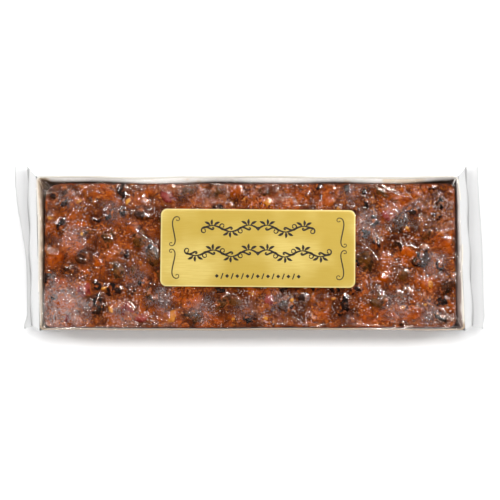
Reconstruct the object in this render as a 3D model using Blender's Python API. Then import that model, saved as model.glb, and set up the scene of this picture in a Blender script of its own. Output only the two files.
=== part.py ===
"""A wrapped fruit cake loaf: a slab of dark fruit cake in a low card tray, inside a clear
film wrap that is crimped shut at both ends, with a gold label on top.

Metres, +Z up. X runs along the loaf, +Y is the back. The origin is on the flat underside,
in the middle of the tray.
"""

import math

import bmesh
import bpy
from mathutils import Vector, noise

# ---------------------------------------------------------------- driving dimensions (metres)
GAP = 0.0003                    # clearance that touching pieces keep

FILM = 0.0004                   # wall of the wrap
TRAY_RIM = (0.206, 0.074)       # outer length and width of the tray at its rim
TRAY_BASE = (0.198, 0.066)      # and at its base, which the sloping walls make smaller
TRAY_HEIGHT = 0.036
CARD = 0.0006                   # thickness of the card

CAKE_EDGE = (0.2008, 0.0694)    # length and width of the cake below its rounded top edge
CAKE_BASE = (0.1942, 0.0622)
CAKE_SHIFT = (0.0007, -0.0008)  # the cake lies nearer the right and the front wall
CAKE_TOP = 0.0352               # mean height of the cake's top above the ground
CAKE_EDGE_ROUND = 0.0030        # rounding of the top edge
CAKE_CORNER = 0.0045            # rounding of the corners, seen from above
LUMP_SPACING = 0.0095           # fruit under the crumb makes lumps about this far apart
LUMP_HEIGHT = 0.0011
CROWN = 0.0004                  # how much the middle of the top stands above its sides

LABEL = (0.09525, 0.0381, 0.0004)
LABEL_CORNER = 0.0030
LABEL_CENTRE = (0.0040, 0.0022)
LABEL_TURN = math.radians(-0.5)

CRIMP_WIDTH = 0.0080            # of the pressed seal, from its root to the cut edge
CRIMP_THICK = 0.0008
CRIMP_HEIGHT = 0.0165           # of the seal above the ground, at its root
END_SLOPE = 0.0050              # how far the film runs out from the rim before the seal
CRIMP_BACK = 0.0452             # the seal's ends, measured from the middle of the tray
CRIMP_FRONT = 0.0355
CURL_AT = -0.012                # the left seal curls down most here,
CURL_TO_BACK = 0.037            # and less and less over these distances
CURL_TO_FRONT = 0.027
RIGHT_DROOP = math.radians(24)   # the right seal hangs down by this much all along
TUCK = 0.0070                   # how deep the side of the film is folded in at each end
SEAM_Y = 0.0120                 # the film's two long edges meet along the underside here
SEAM_GAP = 0.0005
SEAM_LENGTH = 0.180

TRAY_FLOOR = FILM + GAP                     # underside of the tray
RIM_TOP = TRAY_FLOOR + TRAY_HEIGHT
WRAP_TOP = RIM_TOP + GAP + FILM             # outside of the film over the rim
CAKE_FLOOR = TRAY_FLOOR + CARD + GAP
LABEL_FLOOR = WRAP_TOP + GAP


# ---------------------------------------------------------------- helpers
def finish_of(name, colour, roughness, metallic=0.0, alpha=1.0):
    """A Principled material."""
    made = bpy.data.materials.new(name)
    made.use_nodes = True
    shader = made.node_tree.nodes["Principled BSDF"]
    shader.inputs["Base Color"].default_value = (*colour, 1.0)
    shader.inputs["Roughness"].default_value = roughness
    shader.inputs["Metallic"].default_value = metallic
    shader.inputs["Alpha"].default_value = alpha
    return made


def place(name, shape, finish, parent, location=(0, 0, 0), turn=0.0):
    """Turns a bmesh into the named object, under parent."""
    bmesh.ops.recalc_face_normals(shape, faces=shape.faces)
    mesh = bpy.data.meshes.new(name)
    shape.to_mesh(mesh)
    shape.free()
    mesh.materials.append(finish)
    made = bpy.data.objects.new(name, mesh)
    made.location = location
    made.rotation_euler.z = turn
    made.parent = parent
    bpy.context.scene.collection.objects.link(made)
    return made


def tapered_box(low, high, z_low, z_high):
    """A box whose bottom rectangle is low = (length, width) and whose top one is high."""
    shape = bmesh.new()
    rings = []
    for (length, width), z in ((low, z_low), (high, z_high)):
        corners = ((-1, -1), (1, -1), (1, 1), (-1, 1))
        rings.append([shape.verts.new((i * length / 2, j * width / 2, z)) for i, j in corners])
    shape.faces.new(reversed(rings[0]))
    shape.faces.new(rings[1])
    for i in range(4):
        j = (i + 1) % 4
        shape.faces.new((rings[0][i], rings[0][j], rings[1][j], rings[1][i]))
    return shape


def cut(target, cutter):
    """Takes cutter's shape out of target with a Boolean modifier, and hides the cutter."""
    cutter.hide_render = True
    cutter.display_type = "WIRE"
    step = target.modifiers.new("cut_" + cutter.name, "BOOLEAN")
    step.operation = "DIFFERENCE"
    step.solver = "EXACT"
    step.object = cutter


# ---------------------------------------------------------------- cake
def lumps(x, y):
    """Relief of the crumb over the fruit below it, from about -1 to 1."""
    point = Vector((x, y, 0.0)) / LUMP_SPACING
    return noise.noise(point) + 0.45 * noise.noise(2.1 * point + Vector((7.3, 2.9, 0.0)))


def inside(x, y, half, corner):
    """How far a point lies inside a rectangle with rounded corners."""
    over = Vector((abs(x) - half[0] + corner, abs(y) - half[1] + corner))
    outside = Vector((max(over.x, 0.0), max(over.y, 0.0))).length
    return corner - outside - min(max(over.x, over.y), 0.0)


def round_corner(x, y, half, corner):
    """Moves a point of a rectangular grid so that the grid gets round corners."""
    u = max(abs(x) - half[0] + corner, 0.0) / corner
    v = max(abs(y) - half[1] + corner, 0.0) / corner
    dx = corner * u * (1.0 - math.sqrt(1.0 - v * v / 2))
    dy = corner * v * (1.0 - math.sqrt(1.0 - u * u / 2))
    return x - math.copysign(dx, x), y - math.copysign(dy, y)


def cake_top(x, y):
    """Height of the cake's top: crown, lumps and the rounded edge."""
    half = (CAKE_EDGE[0] / 2, CAKE_EDGE[1] / 2)
    crown = CROWN * (1.0 - (y / half[1]) ** 2)
    depth = inside(x, y, half, CAKE_CORNER)
    short = max(CAKE_EDGE_ROUND - depth, 0.0)
    fall = CAKE_EDGE_ROUND - math.sqrt(max(CAKE_EDGE_ROUND**2 - short**2, 0.0))
    fade = min(depth / CAKE_EDGE_ROUND, 1.0)
    return CAKE_TOP + crown + LUMP_HEIGHT * lumps(x, y) * fade - fall


def grid_lines(length, spacing):
    """Positions along one side: close together over the rounded edge, even between."""
    edge = [CAKE_EDGE_ROUND * share for share in (0.0, 0.12, 0.42)]
    inner = length - 2 * CAKE_EDGE_ROUND
    count = round(inner / spacing)
    middle = [CAKE_EDGE_ROUND + inner * i / count for i in range(count + 1)]
    return [p - length / 2 for p in edge + middle + [length - e for e in reversed(edge)]]


def cake_shape(spacing=0.0034):
    """The slab: a grid for the lumpy top, two rings down the sides and a flat base."""
    shape = bmesh.new()
    half = (CAKE_EDGE[0] / 2, CAKE_EDGE[1] / 2)
    xs = grid_lines(CAKE_EDGE[0], spacing)
    ys = grid_lines(CAKE_EDGE[1], spacing)
    top = []
    for x in xs:
        row = []
        for y in ys:
            px, py = round_corner(x, y, half, CAKE_CORNER)
            row.append(shape.verts.new((px, py, cake_top(px, py))))
        top.append(row)
    for i in range(len(xs) - 1):
        for j in range(len(ys) - 1):
            shape.faces.new((top[i][j], top[i + 1][j], top[i + 1][j + 1], top[i][j + 1]))
    rim = [row[0] for row in top]
    rim += top[-1][1:]
    rim += [row[-1] for row in reversed(top[:-1])]
    rim += list(reversed(top[0][1:-1]))
    shrink = (CAKE_BASE[0] / CAKE_EDGE[0], CAKE_BASE[1] / CAKE_EDGE[1])
    above = rim
    for share in (0.5, 1.0):
        ring = []
        for v in rim:
            x = v.co.x * (1 + share * (shrink[0] - 1))
            y = v.co.y * (1 + share * (shrink[1] - 1))
            ring.append(shape.verts.new((x, y, v.co.z + share * (CAKE_FLOOR - v.co.z))))
        for i, v in enumerate(ring):
            j = (i + 1) % len(ring)
            shape.faces.new((above[i], above[j], ring[j], v))
        above = ring
    shape.faces.new(above)
    return shape


def make_cake(parent):
    crumb = finish_of("fruit_cake", (0.20, 0.065, 0.022), 0.35)
    made = place("cake", cake_shape(), crumb, parent, location=(*CAKE_SHIFT, 0.0))
    made.data.shade_smooth()
    made.data.set_sharp_from_angle(angle=math.radians(40))
    return made


# ---------------------------------------------------------------- tray
def make_tray(parent):
    """An open tray of folded card, with sloping walls and a flat base."""
    card = finish_of("tray_card", (0.84, 0.80, 0.72), 0.75)
    outer = tapered_box(TRAY_BASE, TRAY_RIM, TRAY_FLOOR, RIM_TOP)
    tray = place("card_tray", outer, card, parent)
    over = 0.002                # the cutter passes the rim by this much, on the same slope
    slope = [(r - b) / TRAY_HEIGHT for r, b in zip(TRAY_RIM, TRAY_BASE)]
    low = [b - 2 * CARD + s * CARD for b, s in zip(TRAY_BASE, slope)]
    high = [r - 2 * CARD + s * over for r, s in zip(TRAY_RIM, slope)]
    hollow = tapered_box(low, high, TRAY_FLOOR + CARD, RIM_TOP + over)
    cut(tray, place("tray_hollow", hollow, card, parent))
    return tray


# ---------------------------------------------------------------- film wrap
def droop(side, y):
    """How far the seal hangs down, as an angle. The left one curls down in its middle."""
    if side > 0:
        return RIGHT_DROOP
    from_curl = y - CURL_AT
    curl = math.exp(-((from_curl / (CURL_TO_BACK if from_curl > 0 else CURL_TO_FRONT)) ** 2))
    return math.radians(8 + 68 * curl)


def wrap_station(side, name):
    """One cross-section of the wrap at an end: its edges, heights and how far out it is."""
    rim_x = TRAY_RIM[0] / 2 + GAP + FILM
    base_x = TRAY_BASE[0] / 2 + GAP + FILM
    rim_y = TRAY_RIM[1] / 2 + GAP + FILM
    base_y = TRAY_BASE[1] / 2 + GAP + FILM
    share = {"rim": 0.0, "slope": 0.55, "root": 1.0}[name]
    fall = 1.0 - (1.0 - share) ** 1.5
    top = WRAP_TOP + fall * (CRIMP_HEIGHT + CRIMP_THICK / 2 - WRAP_TOP)
    bottom = share * (CRIMP_HEIGHT - CRIMP_THICK / 2)
    out_top = rim_x + share * END_SLOPE
    out_bottom = base_x + share * (rim_x + END_SLOPE - base_x)
    return {
        "x": (side * out_top, side * out_bottom),
        "back": (rim_y + share * (CRIMP_BACK - rim_y), base_y + share * (CRIMP_BACK - base_y)),
        "front": (rim_y + share * (CRIMP_FRONT - rim_y), base_y + share * (CRIMP_FRONT - base_y)),
        "z": (top, bottom),
        "tuck": TUCK * 4 * share * (1 - share),
    }


def wrap_ring(shape, side, station, across, reach=0.0):
    """The ring of one station: along the top from back to front, then back underneath.
    reach carries the ring out along the drooping seal."""
    ring = []
    for layer in (0, 1):
        z = station["z"][layer]
        for i in range(across + 1):
            share = i / across if layer == 0 else 1 - i / across
            y = station["back"][layer] * (1 - share) - station["front"][layer] * share
            angle = droop(side, y)
            x = station["x"][layer] + side * reach * math.cos(angle)
            ring.append(shape.verts.new((x, y, z - reach * math.sin(angle))))
        edge = -1 if layer == 0 else 1
        reach_y = station["front" if layer == 0 else "back"]
        y = edge * (sum(reach_y) / 2 - station["tuck"])
        angle = droop(side, y)
        x = sum(station["x"]) / 2 + side * reach * math.cos(angle)
        ring.append(shape.verts.new((x, y, sum(station["z"]) / 2 - reach * math.sin(angle))))
    return ring


def wrap_shape(across=14):
    """The outside of the wrap, lofted from the left seal to the right one."""
    shape = bmesh.new()
    rings = []
    for side in (-1, 1):
        root = wrap_station(side, "root")
        seal = [wrap_ring(shape, side, root, across, CRIMP_WIDTH * f) for f in (1.0, 0.5, 0.0)]
        body = [wrap_ring(shape, side, wrap_station(side, n), across) for n in ("slope", "rim")]
        end = seal + body
        rings += end if side < 0 else list(reversed(end))
    for near, far in zip(rings, rings[1:]):
        for i in range(len(near)):
            j = (i + 1) % len(near)
            shape.faces.new((near[i], near[j], far[j], far[i]))
    shape.faces.new(rings[0])
    shape.faces.new(list(reversed(rings[-1])))
    return shape


def make_wrap(parent):
    """The film: solid at the pressed ends, a thin wall elsewhere, and open along the seam."""
    clear = finish_of("clear_film", (0.93, 0.94, 0.95), 0.12, alpha=0.25)
    wrap = place("film_wrap", wrap_shape(), clear, parent)
    low = [b + 2 * GAP for b in TRAY_BASE]
    high = [r + 2 * GAP for r in TRAY_RIM]
    cut(wrap, place("wrap_hollow", tapered_box(low, high, FILM, WRAP_TOP - FILM), clear, parent))
    seam = (SEAM_LENGTH, SEAM_GAP)
    slot = tapered_box(seam, seam, -FILM, 1.5 * FILM)
    cut(wrap, place("seam_slot", slot, clear, parent, location=(0.0, SEAM_Y, 0.0)))
    return wrap


# ---------------------------------------------------------------- label
def make_label(parent, steps=6):
    """A thin plate with rounded corners, stuck to the film over the middle of the cake."""
    gold = finish_of("gold_label", (0.72, 0.55, 0.16), 0.35, metallic=0.6)
    length, width, thick = LABEL
    shape = bmesh.new()
    outline = []
    for i, j, start in ((1, 1, 0), (-1, 1, 90), (-1, -1, 180), (1, -1, 270)):
        for step in range(steps + 1):
            angle = math.radians(start + 90 * step / steps)
            x = i * (length / 2 - LABEL_CORNER) + LABEL_CORNER * math.cos(angle)
            y = j * (width / 2 - LABEL_CORNER) + LABEL_CORNER * math.sin(angle)
            outline.append(shape.verts.new((x, y, 0.0)))
    face = shape.faces.new(outline)
    raised = bmesh.ops.extrude_face_region(shape, geom=[face])["geom"]
    lifted = [v for v in raised if isinstance(v, bmesh.types.BMVert)]
    bmesh.ops.translate(shape, verts=lifted, vec=(0.0, 0.0, thick))
    return place("label", shape, gold, parent, (*LABEL_CENTRE, LABEL_FLOOR), LABEL_TURN)


def main():
    for old in list(bpy.data.objects):
        bpy.data.objects.remove(old)
    loaf = bpy.data.objects.new("wrapped_loaf", None)
    bpy.context.scene.collection.objects.link(loaf)
    make_cake(loaf)
    make_tray(loaf)
    make_wrap(loaf)
    make_label(loaf)


main()
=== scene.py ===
# %% [markdown]
# # A fruit cake loaf in a card tray, film wrap and gold label
#
# The solid model gives four plain solids: a cake, an open card tray, a film wrap and a label.
# Here they get their looks. Each is built again as a finer mesh in the same place: a crumb
# with fruit set in it, folded board, film that drapes over what it holds, and gold foil
# printed with scrolls. Everything is worked out in millimetres and turned into metres last.

# %% Tools, and the solid model as the frame
import math

import bmesh

import bpy
import numpy as np
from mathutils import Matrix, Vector, noise
from mathutils.bvhtree import BVHTree


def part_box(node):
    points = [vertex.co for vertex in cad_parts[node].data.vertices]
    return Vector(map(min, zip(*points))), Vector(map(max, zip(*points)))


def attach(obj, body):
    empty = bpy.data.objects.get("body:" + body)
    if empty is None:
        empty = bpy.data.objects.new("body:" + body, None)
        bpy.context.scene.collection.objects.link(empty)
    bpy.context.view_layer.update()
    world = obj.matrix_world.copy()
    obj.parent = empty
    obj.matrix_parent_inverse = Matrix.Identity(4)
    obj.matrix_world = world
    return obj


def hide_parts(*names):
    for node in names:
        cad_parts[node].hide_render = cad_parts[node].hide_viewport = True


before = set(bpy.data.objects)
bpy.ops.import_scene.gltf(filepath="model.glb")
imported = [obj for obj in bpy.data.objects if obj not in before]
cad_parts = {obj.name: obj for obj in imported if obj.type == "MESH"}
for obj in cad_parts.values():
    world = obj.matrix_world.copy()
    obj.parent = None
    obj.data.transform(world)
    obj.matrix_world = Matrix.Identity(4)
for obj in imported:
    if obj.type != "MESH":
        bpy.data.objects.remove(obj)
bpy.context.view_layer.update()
MM = 0.001


def box_mm(node):
    """Lowest and highest corner of one solid, in millimetres."""
    return [np.array(corner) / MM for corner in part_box(node)]


CAKE_LOW, CAKE_HIGH = box_mm("cake")
CAKE_LOW[1] -= 1.1              # the soft crumb bulges against the front wall
CAKE_HIGH[1] += 0.8
CAKE_LOW[0] -= 1.1
TRAY_LOW, TRAY_HIGH = box_mm("card_tray")
WRAP_LOW, WRAP_HIGH = box_mm("film_wrap")
LABEL_LOW, LABEL_HIGH = box_mm("label")
RIM_Z = TRAY_HIGH[2]
print("solids:", sorted(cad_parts), "rim at", round(float(RIM_Z), 2), "mm")

# %% [markdown]
# ## Camera, light and floor
#
# The loaf lies on a white table and is seen from above, a few degrees from the front, through
# a long lens, so its sides hardly converge. A white world fills the shadows, and one softbox
# above the back edge throws a soft shadow towards the camera's foot. The softboxes are bright
# and narrow for another reason too: glossy film only shows as film when it has something
# bright to mirror.

# %% Camera
PICTURE_WIDTH = 245.0           # what the picture spans at the height of the rim
LENS = 150.0
SENSOR = 36.0
ELEVATION = math.radians(84.5)
AIM = Vector((0.1, 1.4, RIM_Z))

camera = bpy.data.objects.new("camera", bpy.data.cameras.new("camera"))
camera.data.lens = LENS
camera.data.sensor_width = SENSOR
toward_camera = Vector((0.0, -math.cos(ELEVATION), math.sin(ELEVATION)))
camera.location = (AIM + toward_camera * (PICTURE_WIDTH * LENS / SENSOR)) * MM
camera.rotation_mode = "QUATERNION"
camera.rotation_quaternion = (-toward_camera).to_track_quat("-Z", "Y")
bpy.context.scene.collection.objects.link(camera)
bpy.context.scene.camera = camera
bpy.context.scene.view_settings.view_transform = "Standard"


# %% Softboxes and the white world
def softbox(name, place, size, power, lights="all"):
    """A rectangular area light at place (millimetres), turned to the middle of the loaf. It
    lights "all", only the "matte" share of each surface, or only its "gloss"."""
    light = bpy.data.lights.new(name, "AREA")
    light.shape = "RECTANGLE"
    light.size, light.size_y = (side * MM for side in size)
    light.energy = power
    made = bpy.data.objects.new(name, light)
    made.location = Vector(place) * MM
    made.rotation_euler = (AIM - Vector(place)).to_track_quat("-Z", "Y").to_euler()
    made.visible_glossy = lights != "matte"
    made.visible_diffuse = lights != "gloss"
    bpy.context.scene.collection.objects.link(made)


softbox("overhead_softbox", (0, 90, 900), (520, 200), 4.75, lights="matte")
softbox("glint_softbox", (350, 420, 800), (430, 60), 10.0, lights="gloss")
softbox("left_glint_softbox", (-300, 420, 800), (420, 40), 2.5, lights="gloss")
softbox("left_softbox", (-520, 60, 640), (120, 260), 1.5, lights="matte")
softbox("right_softbox", (520, 60, 640), (120, 260), 1.5, lights="matte")

world = bpy.data.worlds.new("white_room")
world.use_nodes = True
background = world.node_tree.nodes["Background"]
background.inputs["Color"].default_value = (1.0, 1.0, 1.0, 1.0)
# The room is bright to look at but dim in the gloss, so that only the softboxes glint.
ray = world.node_tree.nodes.new("ShaderNodeLightPath")
strength = world.node_tree.nodes.new("ShaderNodeMapRange")
strength.inputs["To Min"].default_value = 0.80
strength.inputs["To Max"].default_value = 0.01

world.node_tree.links.new(ray.outputs["Is Glossy Ray"], strength.inputs["Value"])
world.node_tree.links.new(strength.outputs["Result"], background.inputs["Strength"])
bpy.context.scene.world = world

# %% [markdown]
# ## Helpers for materials and meshes
#
# A material is a small graph of nodes. These helpers add one node each, so that a finish
# below reads like a recipe. Colours are written as screen values from 0 to 255, the way a
# colour picker shows them, and turned into the linear values that a renderer works in.


# %% Material helpers
def screen(red, green, blue):
    """A colour as a screen shows it, from 0 to 255, in linear light."""
    shares = [v / 255 for v in (red, green, blue)]
    linear = [s / 12.92 if s <= 0.04045 else ((s + 0.055) / 1.055) ** 2.4 for s in shares]
    return (*linear, 1.0)


def add(tree, kind, **inputs):
    """Adds a node and sets its inputs: a value is set, and a socket is linked."""
    made = tree.nodes.new(kind)
    for name, value in inputs.items():
        socket = made.inputs[name.replace("_", " ")]
        if isinstance(value, bpy.types.NodeSocket):
            tree.links.new(value, socket)
        else:
            socket.default_value = value
    return made


def mix(tree, factor, first, second, blend="MIX"):
    """Mixes two colours. Each argument is a value or a socket."""
    made = tree.nodes.new("ShaderNodeMix")
    made.data_type = "RGBA"
    made.blend_type = blend
    for socket, value in ((made.inputs[0], factor), (made.inputs[6], first), (made.inputs[7], second)):
        if isinstance(value, bpy.types.NodeSocket):
            tree.links.new(value, socket)
        else:
            socket.default_value = value
    return made.outputs[2]


def between(tree, value, low, high, start=0.0, end=1.0):
    """Eases from start to end while value goes from low to high."""
    made = add(tree, "ShaderNodeMapRange", Value=value)
    made.interpolation_type = "SMOOTHSTEP"
    for name, number in (("From Min", low), ("From Max", high), ("To Min", start), ("To Max", end)):
        made.inputs[name].default_value = number
    return made.outputs["Result"]


def calculate(tree, operation, *values):
    """One step of arithmetic."""
    made = tree.nodes.new("ShaderNodeMath")
    made.operation = operation
    for socket, value in zip(made.inputs, values):
        if isinstance(value, bpy.types.NodeSocket):
            tree.links.new(value, socket)
        else:
            socket.default_value = value
    return made.outputs[0]


def places(tree, turn=0.0, stretch=(1.0, 1.0, 1.0)):
    """The point being shaded, in millimetres, with the pattern turned and stretched."""
    point = tree.nodes.new("ShaderNodeTexCoord").outputs["Object"]
    moved = add(tree, "ShaderNodeMapping", Vector=point)
    moved.vector_type = "TEXTURE"
    moved.inputs["Rotation"].default_value = (0.0, 0.0, math.radians(turn))
    moved.inputs["Scale"].default_value = [s * MM for s in stretch]
    return moved.outputs["Vector"]


def grain(tree, spacing, detail=2.0, where=None, roughness=0.5):
    """Noise with lumps `spacing` millimetres apart."""
    where = where or places(tree)
    made = add(tree, "ShaderNodeTexNoise", Vector=where, Scale=1 / spacing, Detail=detail)
    made.inputs["Roughness"].default_value = roughness
    return made.outputs["Fac"]


def relief(tree, height, depth, strength=1.0, under=None):
    """A bump: height from 0 to 1 stands for `depth` millimetres."""
    made = add(tree, "ShaderNodeBump", Height=height, Distance=depth * MM, Strength=strength)
    if under is not None:
        tree.links.new(under, made.inputs["Normal"])
    return made.outputs["Normal"]


def finish(name, roughness=0.5, specular=0.5, metallic=0.0):
    """A new material: returns it with its tree and its Principled shader."""
    made = bpy.data.materials.new(name)
    made.use_nodes = True
    shader = made.node_tree.nodes["Principled BSDF"]
    shader.inputs["Roughness"].default_value = roughness
    shader.inputs["Specular IOR Level"].default_value = specular
    shader.inputs["Metallic"].default_value = metallic
    return made, made.node_tree, shader


# %% Mesh helpers
def ease(share):
    """0 below 0, 1 above 1, and a soft S between them."""
    share = np.clip(share, 0.0, 1.0)
    return share * share * (3 - 2 * share)


def lumps(x, y, spacing, seed=0.0, along=0.0, stretch=1.0):
    """Perlin noise from about -1 to 1 at every point of two arrays. The lumps are `spacing`
    millimetres apart, and may be drawn out `stretch` times along a direction in degrees."""
    cosine, sine = math.cos(math.radians(along)), math.sin(math.radians(along))
    u = (x * cosine + y * sine) / (spacing * stretch)
    v = (y * cosine - x * sine) / spacing
    pairs = zip(u.ravel().tolist(), v.ravel().tolist())
    return np.array([noise.noise((a, b, seed)) for a, b in pairs]).reshape(x.shape)


def mesh_piece(name, points, faces, material, flat_above=None):
    """Makes an object from points in millimetres, with its place in its mesh."""
    mesh = bpy.data.meshes.new(name)
    mesh.from_pydata((np.asarray(points).reshape(-1, 3) * MM).tolist(), [], faces)
    mesh.materials.append(material)
    mesh.shade_smooth()
    if flat_above is not None:
        mesh.set_sharp_from_angle(angle=math.radians(flat_above))
    made = bpy.data.objects.new(name, mesh)
    bpy.context.scene.collection.objects.link(made)
    print(name, len(mesh.polygons), "faces")
    return made


def outwards(piece):
    """Turns every face of a closed piece outwards."""
    shape = bmesh.new()
    shape.from_mesh(piece.data)
    bmesh.ops.recalc_face_normals(shape, faces=shape.faces)
    shape.to_mesh(piece.data)
    shape.free()


def grid_faces(rows, columns, first=0):
    """Quads of a grid whose points are numbered row by row from `first`."""
    i, j = np.meshgrid(np.arange(rows - 1), np.arange(columns - 1), indexing="ij")
    corner = (first + i * columns + j).ravel()
    return np.stack([corner, corner + columns, corner + columns + 1, corner + 1], 1).tolist()


def border(rows, columns):
    """Numbers of the points round a grid's edge, in order."""
    numbers = np.arange(rows * columns).reshape(rows, columns)
    sides = (numbers[:, 0], numbers[-1, 1:], numbers[-2::-1, -1], numbers[0, -2:0:-1])
    return np.concatenate(sides)


def rounded_grid(length, width, corner, spacing):
    """x and y of a grid over a rectangle with round corners, about `spacing` apart."""
    xs = np.linspace(-length / 2, length / 2, round(length / spacing) + 1)
    ys = np.linspace(-width / 2, width / 2, round(width / spacing) + 1)
    x, y = np.meshgrid(xs, ys, indexing="ij")
    u = np.clip(np.abs(x) - length / 2 + corner, 0, None) / corner
    v = np.clip(np.abs(y) - width / 2 + corner, 0, None) / corner
    return (
        x - np.sign(x) * corner * u * (1 - np.sqrt(1 - v * v / 2)),
        y - np.sign(y) * corner * v * (1 - np.sqrt(1 - u * u / 2)),
    )


def depth_inside(x, y, length, width, corner):
    """How far each point lies inside a rectangle with round corners."""
    over_x, over_y = np.abs(x) - length / 2 + corner, np.abs(y) - width / 2 + corner
    outside = np.hypot(np.clip(over_x, 0, None), np.clip(over_y, 0, None))
    return corner - outside - np.minimum(np.maximum(over_x, over_y), 0)


# %% [markdown]
# ## Where the fruit lies
#
# A fruit cake is more fruit than cake. The pieces that stand out are placed one by one, as a
# baker would press them in, and the rest is scattered by a seeded draw that keeps them apart.
# One list serves three makers: the crumb rises round each piece, the pieces themselves are
# set on it, and the film hangs over both.

# %% Kinds of fruit
# For each kind: usual length, width and height (millimetres), how far it stands out of the
# crumb, and how many are scattered for every hundred that are drawn.
KINDS = {
    "raisin": (7.5, 5.6, 3.2, 0.44, 18),
    "prune": (11.0, 8.0, 3.8, 0.50, 16),
    "nut": (10.0, 7.5, 3.6, 0.42, 36),
    "amber": (10.0, 8.0, 3.4, 0.20, 26),
    "cherry": (9.5, 8.5, 3.8, 0.40, 5),
    "citron": (3.6, 2.8, 2.0, 0.30, 3),
}

# x and y in millimetres from the middle of the tray, length, and turn in degrees.
PLACED = {
    "raisin": (
        (-92, 24.5, 8.5, 75), (93.5, 24, 7.5, 80), (-96.6, -21.7, 4, 0), (-51, -14, 6.5, 10),
        (0.4, -31.8, 7, 0), (34, 33, 5.5, 60), (56, 9.5, 6.5, 20), (53.7, -3, 6, 80), (92.7, -31, 8, -30),
        (-76, -26, 12, 60), (44.5, -24.5, 12, 80), (74.4, -34.5, 4, 0), (79.5, 20.5, 9, 30),
        (15.5, -23, 9, 30), (25, -21.5, 9, -20), (-47, 2, 8, -60), (51, -17.5, 7, 0), (-15, -19, 6, 0),
        (-74, -16, 8, 10), (-67, -17.5, 8.5, -12), (-69, 19, 8, 15), (-61, 20, 7, -10),
    ),
    "prune": (
        (75.6, 13, 14.5, -8), (-52, 20, 10, -20), (20.2, -27, 12, 8),
        (-79.9, -1.4, 11, 30), (-88.5, -8.4, 8, 0), (70.9, 4.9, 8.5, -40), (84.1, -2.2, 10, 50),
        (-89, 31, 8, 20), (90.8, 31, 6, 0), (51.4, 21, 6, 40),
    ),
    "nut": (
        (-70.5, 6.4, 9.5, 60), (-53, 5, 13, -50), (-46.5, -1, 11, -60), (-65, -8.4, 11, -35), (75.6, -10, 10, 10),
        (57.5, -4.5, 12, -50), (64.7, -22.4, 13, 20), (74.8, -20.9, 9, -10), (-44.8, -21, 12, -50),
        (-16, -23, 13, 20), (-6, -23, 11, -20), (-30.5, 30.5, 9, 10), (-18, 30.5, 9.5, -10), (64, 30.5, 9, -20),
        (-57, -9, 8, 60), (-80, 10, 8, 20), (9, 31, 8, 0), (88, 10, 8, 40), (-28, -31, 9, 0),
    ),
    "amber": (
        (-71, 0, 12, 20), (-76, -6, 9, 60), (-53, 27, 12, 10), (-58, 12, 7, 0),
        (-32, -22, 12, 70), (77, -3, 12, -20), (66, -10, 9, 60), (87, -15, 9, 0), (4, 26, 9, 10),
        (37, 26, 9, 5), (-24, 25, 8, 0), (53, -23, 12, -10), (33, -27, 12, 60), (66, -32, 12, 0),
        (-21, -33, 10, 0), (58, -33, 9, 0), (-86, 4, 11, 30), (-84, 16, 12, 0), (82, 29, 7, 0),
    ),
    "cherry": ((-61, -28, 9.5, 80), (-53.4, -31, 7.5, 0), (8.5, -23, 9, 70), (-88, -32, 6, 0), (69, 19, 7, 0)),
    "citron": (
        (-82, 9.5, 3.4, 0), (-60, 25, 4.5, 60), (-38, -31, 7, 60), (-70.5, -17.6, 4.6, 10), (20.3, -23, 3, 0),
        (41, -22.5, 2.6, 0), (45, -23.4, 2.2, 0), (9, 25, 4.5, 0), (38, 25.6, 4.5, 60), (77.5, 12.2, 4.4, -15),
        (88, -15.5, 4, 70),
    ),
}


# %% Scatter the rest
class Fruit:
    """One piece of fruit: its kind, place, half sizes, turn, rise above the crumb, and tone."""

    def __init__(self, kind, x, y, length, turn, draw):
        usual = KINDS[kind]
        scale = length / usual[0]
        self.kind, self.x, self.y = kind, x, y
        self.half = np.array(usual[:3]) / 2 * scale * draw.uniform((1.0, 0.95, 0.95), (1.2, 1.2, 1.05))
        self.turn = math.radians(turn)
        self.rise = usual[3] * scale**0.5 * draw.uniform(0.7, 1.25)
        self.tone = draw.uniform(0.0, 1.0)


def lay_out_fruit(tries=3000, seed=20):
    """The placed pieces first, then scattered ones wherever there is still room."""
    draw = np.random.default_rng(seed)
    laid = [Fruit(kind, *spot, draw) for kind, spots in PLACED.items() for spot in spots]
    kinds = list(KINDS)
    chances = np.array([KINDS[kind][4] for kind in kinds], float)
    reach = (CAKE_HIGH - CAKE_LOW) / 2
    for _ in range(tries):
        kind = kinds[draw.choice(len(kinds), p=chances / chances.sum())]
        length = KINDS[kind][0] * draw.uniform(0.75, 1.15)
        x, y = draw.uniform(-1, 1, 2) * (reach[:2] - 0.42 * length)
        near = min(math.hypot(x - f.x, y - f.y) / (f.half[0] + f.half[1] + length) for f in laid)
        if near > 0.47:
            laid.append(Fruit(kind, x, y, length, draw.uniform(0, 180), draw))
    return laid


FRUIT = lay_out_fruit()
print({kind: sum(f.kind == kind for f in FRUIT) for kind in KINDS})

# %% [markdown]
# ## The cake's crumb
#
# The top is a height for every point of a fine grid: a low crown, lumps, a rim of crumb round
# each piece of fruit, and pits. The edge rolls over by a quarter circle. The sides only show
# as a dark line in the gap to the tray, so a few coarse rows close them. The same grid carries
# a colour attribute that says how much amber, dark juice and painted sheen there is at a point,
# and how much painted shade lies in its pits and along its back edge.
# Painting by attribute keeps the colours tied to the fruit, which no texture could do.

# %% Relief of the top
CAKE_SIZE = CAKE_HIGH - CAKE_LOW
CAKE_MID = (CAKE_HIGH + CAKE_LOW) / 2
CAKE_CORNER = 4.0
WORN_REACH, WORN_DEPTH = 11.0, 1.5    # the left back corner is more rounded than the others
EDGE_ROUND = 1.7
CROWN = 0.3
TOP_LEVEL = CAKE_HIGH[2] - 0.9




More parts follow.
